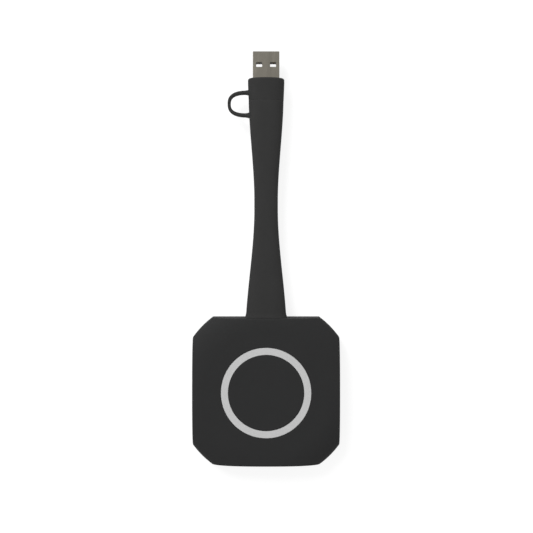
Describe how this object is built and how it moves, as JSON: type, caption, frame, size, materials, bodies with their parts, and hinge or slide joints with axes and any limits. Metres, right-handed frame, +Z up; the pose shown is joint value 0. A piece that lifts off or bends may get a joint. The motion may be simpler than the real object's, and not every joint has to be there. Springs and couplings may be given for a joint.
{
  "type": "wireless presentation dongle",
  "caption": "Pocket wireless presentation dongle: square pod with a round push button and light ring, flexible strap, reversible plug and a tethered flat-plug adapter.",
  "frame": {"origin": "on the table, on the axis of the round button, at the middle of the rubber foot ring", "axes": "+Z up out of the button's face, +Y along the strap towards the plug, +X to the right seen from the front"},
  "size_m": [0.0666, 0.187, 0.012],
  "materials": {
    "pod_plastic": "fine spark-eroded texture, satin black",
    "button_plastic": "fine texture, satin black",
    "ring_diffuser": "translucent light grey, smooth satin",
    "shield_white": "reflective white",
    "led_lens": "clear resin over phosphor",
    "switch_black": "moulded black",
    "sheet_steel": "bright tinned sheet",
    "screw_steel": "zinc plated",
    "board_laminate": "solder mask over glass laminate",
    "chip_resin": "moulded resin",
    "inductor_ferrite": "pressed ferrite",
    "ceramic_tan": "fired ceramic with tinned ends",
    "thermal_rubber": "soft filled silicone",
    "spreader_aluminium": "rolled sheet",
    "antenna_film": "copper track on film",
    "contact_gold": "gold flash",
    "connector_white": "natural nylon",
    "wire_jacket": "coloured insulation",
    "foot_rubber": "matt silicone",
    "strap_rubber": "soft-touch elastomer",
    "cable_jacket": "smooth jacket",
    "core_plastic": "moulded polypropylene",
    "liner_plastic": "moulded black",
    "adapter_plastic": "soft-touch satin black",
    "plug_steel": "nickel-plated stainless sheet",
    "tongue_plastic": "moulded black",
    "tether_rubber": "soft silicone"
  },
  "bodies": {
    "pod": {"front_cover": "pod_plastic", "back_cover": "pod_plastic", "foot_ring": "foot_rubber", "light_ring": "ring_diffuser", "light_shield": "shield_white", "leds": "led_lens", "switch_base": "switch_black", "switch_cover": "sheet_steel", "switch_dome": "sheet_steel", "switch_terminals": "sheet_steel", "main_board": "board_laminate", "processor_shield": "sheet_steel", "radio_shield": "sheet_steel", "memory_chips": "chip_resin", "power_chip": "chip_resin", "power_inductor": "inductor_ferrite", "crystal": "sheet_steel", "capacitors": "ceramic_tan", "heat_spreader": "spreader_aluminium", "thermal_pad": "thermal_rubber", "antenna_left": "antenna_film", "antenna_right": "antenna_film", "antenna_clips": "contact_gold", "wire_socket": "connector_white", "wire_plug": "connector_white", "lead_wires": "wire_jacket", "case_screws": "screw_steel", "board_screws": "screw_steel"},
    "button": {"button_cap": "button_plastic", "switch_plunger": "switch_black"},
    "neck": {"neck_sleeve": "strap_rubber", "usb_cable": "cable_jacket"},
    "plug_end": {"plug_core": "core_plastic", "plug_board": "board_laminate", "plug_shell": "plug_steel", "plug_liner": "liner_plastic", "plug_contacts": "contact_gold", "tether": "tether_rubber"},
    "adapter": {"adapter_housing": "adapter_plastic", "socket_shell": "plug_steel", "socket_tongue": "liner_plastic", "adapter_board": "board_laminate", "flat_plug_shell": "plug_steel", "flat_plug_tongue": "tongue_plastic", "flat_plug_contacts": "contact_gold"}
  },
  "joints": [
    {"name": "button_press", "type": "slide", "parent": "pod", "child": "button", "axis": [0, 0, -1], "range_m": [0, 0.00035], "stiffness_N_per_m": 3400, "springref_m": -0.00018, "deforming": ["switch_dome"]},
    {"name": "neck_flex_pod", "type": "hinge", "parent": "pod", "child": "neck", "pos_m": [0, 0.056, 0.007], "axis": [1, 0, 0], "range_deg": [-60, 60], "stiffness_Nm_per_rad": 0.2, "deforming": ["neck_sleeve", "usb_cable"]},
    {"name": "neck_flex_plug", "type": "hinge", "parent": "neck", "child": "plug_end", "pos_m": [0, 0.102, 0.007], "axis": [1, 0, 0], "range_deg": [-60, 60], "stiffness_Nm_per_rad": 0.2, "deforming": ["neck_sleeve", "usb_cable"]},
    {"name": "adapter_pull", "type": "slide", "parent": "plug_end", "child": "adapter", "axis": [0, 1, 0], "range_m": [0, 0.009], "deforming": ["tether"]}
  ]
}
